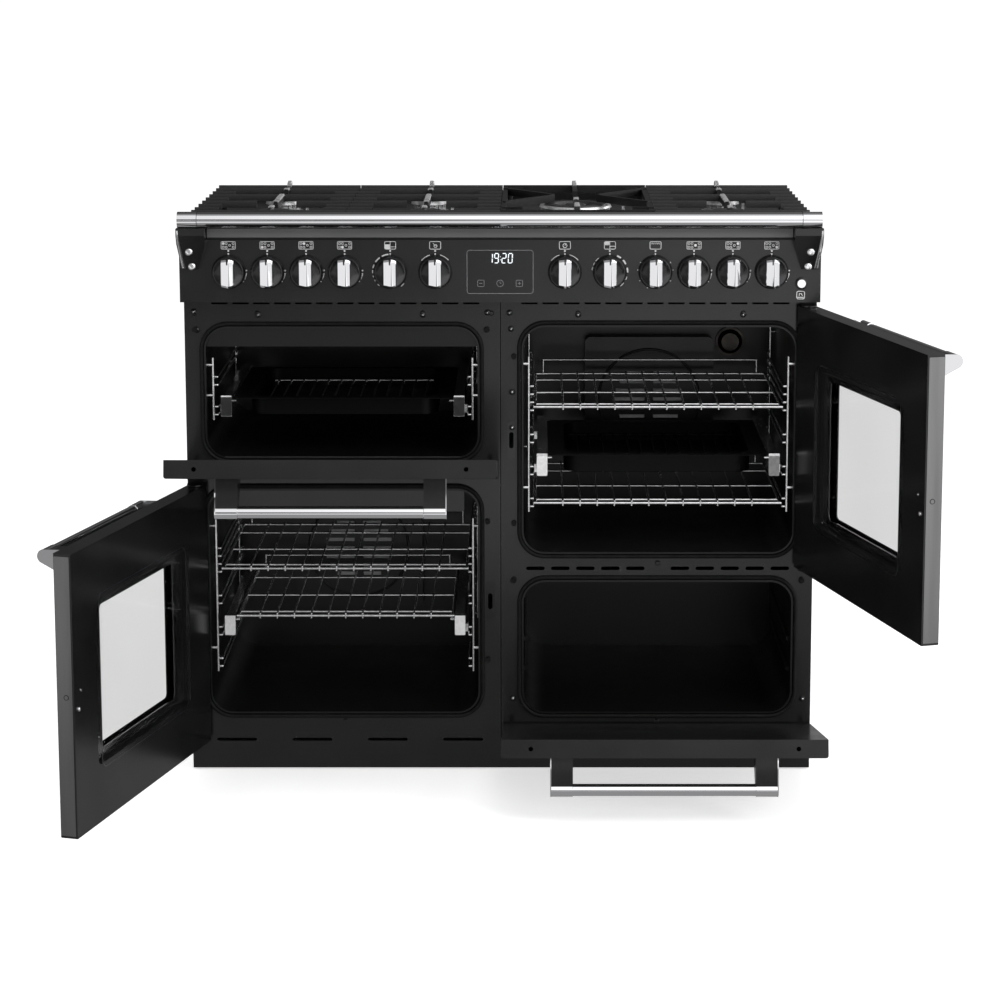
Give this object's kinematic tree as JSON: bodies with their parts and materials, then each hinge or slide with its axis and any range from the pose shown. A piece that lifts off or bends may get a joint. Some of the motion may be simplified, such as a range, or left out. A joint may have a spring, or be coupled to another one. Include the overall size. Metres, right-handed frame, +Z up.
{
  "type": "range cooker",
  "caption": "Range cooker with gas hob, grill, two fan ovens and a slow oven, side-hung and drop-down doors, wire shelves, control knobs and a clock display.",
  "frame": {"origin": "on the floor under the middle of the cabinet", "axes": "+X to the right seen from the front, front towards -Y, +Z up"},
  "size_m": [1.3334, 1.0797, 0.9128],
  "materials": {
    "cabinet_enamel": "glossy black enamel",
    "cavity_enamel": "semi-gloss black vitreous enamel",
    "galvanised_steel": "dull zinc",
    "heater_steel": "dark heat-resistant steel",
    "chrome": "bright chrome",
    "rubber": "matte",
    "display_glass": "gloss black",
    "door_glass": "clear double glass",
    "brass": "satin",
    "aluminium": "satin",
    "burner_enamel": "matte black enamel",
    "cast_iron": "matte black"
  },
  "bodies": {
    "cabinet": {"side_panels": "cabinet_enamel", "chassis": "galvanised_steel", "front_frames": "cabinet_enamel", "plinth": "cabinet_enamel", "grill_cavity": "cavity_enamel", "left_oven_cavity": "cavity_enamel", "right_oven_cavity": "cavity_enamel", "slow_oven_cavity": "cavity_enamel", "side_racks": "chrome", "fan_covers": "cavity_enamel", "heaters_and_motors": "heater_steel", "door_seals": "rubber", "hinge_brackets": "galvanised_steel", "control_panel": "cabinet_enamel", "clock_display": "display_glass", "gas_manifold": "brass", "front_rail": "chrome", "rail_brackets": "cabinet_enamel", "hob_top": "cabinet_enamel", "burner_bases": "aluminium", "burner_caps": "burner_enamel"},
    "left_oven_door": {"left_oven_door_shell": "cabinet_enamel", "left_oven_door_panel": "cabinet_enamel", "left_oven_door_glass": "door_glass", "left_oven_door_handle": "chrome"},
    "right_oven_door": {"right_oven_door_shell": "cabinet_enamel", "right_oven_door_panel": "cabinet_enamel", "right_oven_door_glass": "door_glass", "right_oven_door_handle": "chrome"},
    "grill_door": {"grill_door_shell": "cabinet_enamel", "grill_door_panel": "cabinet_enamel", "grill_door_handle": "chrome"},
    "slow_oven_door": {"slow_oven_door_shell": "cabinet_enamel", "slow_oven_door_panel": "cabinet_enamel", "slow_oven_door_handle": "chrome"},
    "left_fan": {"left_fan": "galvanised_steel"},
    "right_fan": {"right_fan": "galvanised_steel"},
    "push_button": {"push_button": "chrome"},
    "left_oven_upper_shelf": {"left_oven_upper_shelf": "chrome"},
    "left_oven_lower_shelf": {"left_oven_lower_shelf": "chrome"},
    "right_oven_upper_shelf": {"right_oven_upper_shelf": "chrome"},
    "right_oven_lower_shelf": {"right_oven_lower_shelf": "chrome"},
    "grill_pan": {"grill_pan": "cavity_enamel"},
    "roasting_tin": {"roasting_tin": "cavity_enamel"},
    "pan_support_1": {"pan_support_1": "cast_iron"},
    "pan_support_2": {"pan_support_2": "cast_iron"},
    "pan_support_3": {"pan_support_3": "cast_iron"},
    "pan_support_4": {"pan_support_4": "cast_iron"},
    "hob_knob_1": {"hob_knob_1": "chrome"},
    "hob_knob_2": {"hob_knob_2": "chrome"},
    "hob_knob_3": {"hob_knob_3": "chrome"},
    "hob_knob_4": {"hob_knob_4": "chrome"},
    "oven_knob_1": {"oven_knob_1": "chrome"},
    "oven_knob_2": {"oven_knob_2": "chrome"},
    "oven_knob_3": {"oven_knob_3": "chrome"},
    "oven_knob_4": {"oven_knob_4": "chrome"},
    "oven_knob_5": {"oven_knob_5": "chrome"},
    "hob_knob_5": {"hob_knob_5": "chrome"},
    "hob_knob_6": {"hob_knob_6": "chrome"},
    "hob_knob_7": {"hob_knob_7": "chrome"}
  },
  "joints": [
    {"name": "left_oven_door_hinge", "type": "hinge", "parent": "cabinet", "child": "left_oven_door", "pos_m": [-0.4835, -0.303, 0.2635], "axis": [0, 0, -1], "range_deg": [-106, 0]},
    {"name": "right_oven_door_hinge", "type": "hinge", "parent": "cabinet", "child": "right_oven_door", "pos_m": [0.4835, -0.303, 0.5495], "axis": [0, 0, 1], "range_deg": [-106, 0]},
    {"name": "grill_door_hinge", "type": "hinge", "parent": "cabinet", "child": "grill_door", "pos_m": [-0.25025, -0.303, 0.4985], "axis": [1, 0, 0], "range_deg": [-78, 0]},
    {"name": "slow_oven_door_hinge", "type": "hinge", "parent": "cabinet", "child": "slow_oven_door", "pos_m": [0.25025, -0.303, 0.068], "axis": [1, 0, 0], "range_deg": [-78, 0]},
    {"name": "hob_knob_1_turn", "type": "hinge", "parent": "cabinet", "child": "hob_knob_1", "pos_m": [-0.423, -0.3092, 0.815], "axis": [0, -1, 0], "range_deg": [0, 150]},
    {"name": "hob_knob_2_turn", "type": "hinge", "parent": "cabinet", "child": "hob_knob_2", "pos_m": [-0.3625, -0.3092, 0.815], "axis": [0, -1, 0], "range_deg": [0, 150]},
    {"name": "hob_knob_3_turn", "type": "hinge", "parent": "cabinet", "child": "hob_knob_3", "pos_m": [-0.302, -0.3092, 0.815], "axis": [0, -1, 0], "range_deg": [0, 150]},
    {"name": "hob_knob_4_turn", "type": "hinge", "parent": "cabinet", "child": "hob_knob_4", "pos_m": [-0.242, -0.3092, 0.815], "axis": [0, -1, 0], "range_deg": [0, 150]},
    {"name": "oven_knob_1_turn", "type": "hinge", "parent": "cabinet", "child": "oven_knob_1", "pos_m": [-0.171, -0.3092, 0.815], "axis": [0, 1, 0], "range_deg": [0, 270]},
    {"name": "oven_knob_2_turn", "type": "hinge", "parent": "cabinet", "child": "oven_knob_2", "pos_m": [-0.101, -0.3092, 0.815], "axis": [0, 1, 0], "range_deg": [0, 270]},
    {"name": "oven_knob_3_turn", "type": "hinge", "parent": "cabinet", "child": "oven_knob_3", "pos_m": [0.101, -0.3092, 0.815], "axis": [0, 1, 0], "range_deg": [0, 270]},
    {"name": "oven_knob_4_turn", "type": "hinge", "parent": "cabinet", "child": "oven_knob_4", "pos_m": [0.171, -0.3092, 0.815], "axis": [0, 1, 0], "range_deg": [0, 270]},
    {"name": "oven_knob_5_turn", "type": "hinge", "parent": "cabinet", "child": "oven_knob_5", "pos_m": [0.242, -0.3092, 0.815], "axis": [0, 1, 0], "range_deg": [0, 270]},
    {"name": "hob_knob_5_turn", "type": "hinge", "parent": "cabinet", "child": "hob_knob_5", "pos_m": [0.302, -0.3092, 0.815], "axis": [0, -1, 0], "range_deg": [0, 150]},
    {"name": "hob_knob_6_turn", "type": "hinge", "parent": "cabinet", "child": "hob_knob_6", "pos_m": [0.3625, -0.3092, 0.815], "axis": [0, -1, 0], "range_deg": [0, 150]},
    {"name": "hob_knob_7_turn", "type": "hinge", "parent": "cabinet", "child": "hob_knob_7", "pos_m": [0.423, -0.3092, 0.815], "axis": [0, -1, 0], "range_deg": [0, 150]},
    {"name": "push_button_press", "type": "slide", "parent": "cabinet", "child": "push_button", "axis": [0, 1, 0], "range_m": [0, 0.003], "stiffness_N_per_m": 600, "springref_m": -0.002},
    {"name": "left_oven_upper_shelf_slide", "type": "slide", "parent": "cabinet", "child": "left_oven_upper_shelf", "axis": [0, -1, 0], "range_m": [0, 0.24]},
    {"name": "left_oven_lower_shelf_slide", "type": "slide", "parent": "cabinet", "child": "left_oven_lower_shelf", "axis": [0, -1, 0], "range_m": [0, 0.24]},
    {"name": "right_oven_upper_shelf_slide", "type": "slide", "parent": "cabinet", "child": "right_oven_upper_shelf", "axis": [0, -1, 0], "range_m": [0, 0.24]},
    {"name": "right_oven_lower_shelf_slide", "type": "slide", "parent": "cabinet", "child": "right_oven_lower_shelf", "axis": [0, -1, 0], "range_m": [0, 0.24]},
    {"name": "grill_pan_slide", "type": "slide", "parent": "cabinet", "child": "grill_pan", "axis": [0, -1, 0], "range_m": [0, 0.2]},
    {"name": "roasting_tin_slide", "type": "slide", "parent": "cabinet", "child": "roasting_tin", "axis": [0, -1, 0], "range_m": [0, 0.2]},
    {"name": "pan_support_1_lift", "type": "slide", "parent": "cabinet", "child": "pan_support_1", "axis": [0, 0, 1], "range_m": [0, 0.06]},
    {"name": "pan_support_2_lift", "type": "slide", "parent": "cabinet", "child": "pan_support_2", "axis": [0, 0, 1], "range_m": [0, 0.06]},
    {"name": "pan_support_3_lift", "type": "slide", "parent": "cabinet", "child": "pan_support_3", "axis": [0, 0, 1], "range_m": [0, 0.06]},
    {"name": "pan_support_4_lift", "type": "slide", "parent": "cabinet", "child": "pan_support_4", "axis": [0, 0, 1], "range_m": [0, 0.06]},
    {"name": "left_fan_spin", "type": "hinge", "parent": "cabinet", "child": "left_fan", "pos_m": [-0.25025, 0.103, 0.28], "axis": [0, 1, 0], "continuous": true},
    {"name": "right_fan_spin", "type": "hinge", "parent": "cabinet", "child": "right_fan", "pos_m": [0.25025, 0.103, 0.5425], "axis": [0, 1, 0], "continuous": true}
  ]
}
